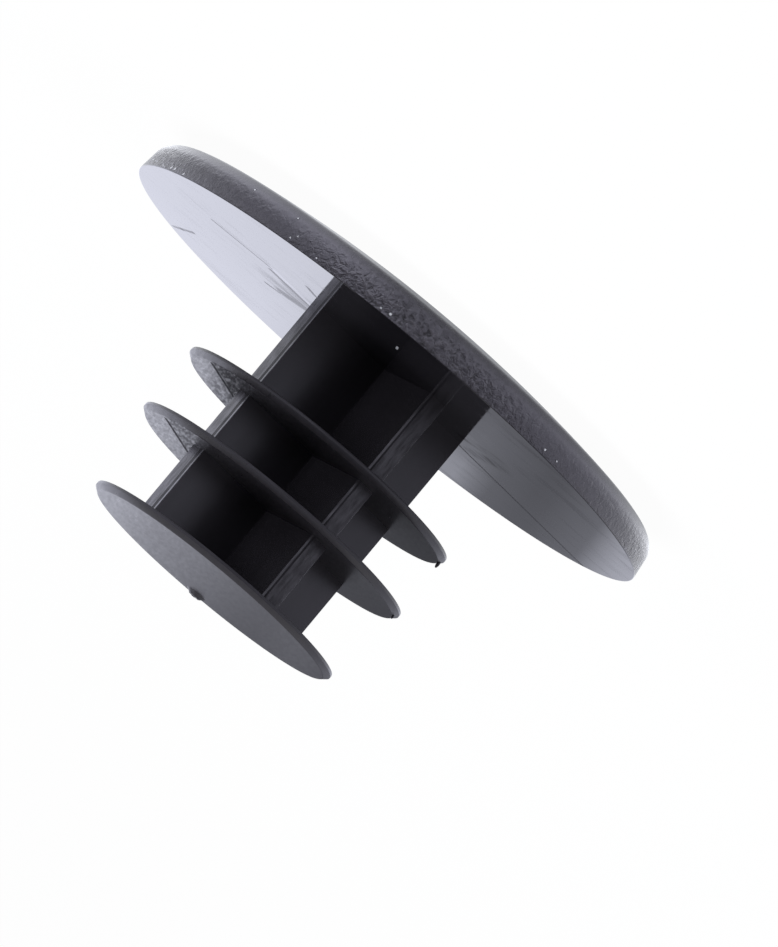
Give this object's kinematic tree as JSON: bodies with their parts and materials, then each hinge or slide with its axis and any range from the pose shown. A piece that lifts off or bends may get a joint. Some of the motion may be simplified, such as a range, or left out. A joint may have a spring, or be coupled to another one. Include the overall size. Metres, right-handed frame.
{
  "type": "handlebar end cap",
  "caption": "Black moulded plastic end cap for a handlebar tube, with a wide crowned head, a crossed-rib stem and thin gripping fins that press into the bore.",
  "frame": {"origin": "centre of the head's outer face, on the surface the cap stands on", "axes": "+Z along the axis from the head to the leading fin; X and Y along the crossed ribs"},
  "size_m": [0.04, 0.04, 0.0211],
  "materials": {
    "black_plastic": "semi-gloss underside and stem, leather-like grain on the rim and outer face"
  },
  "bodies": {
    "root": {"end_cap": "black_plastic"}
  },
  "joints": []
}
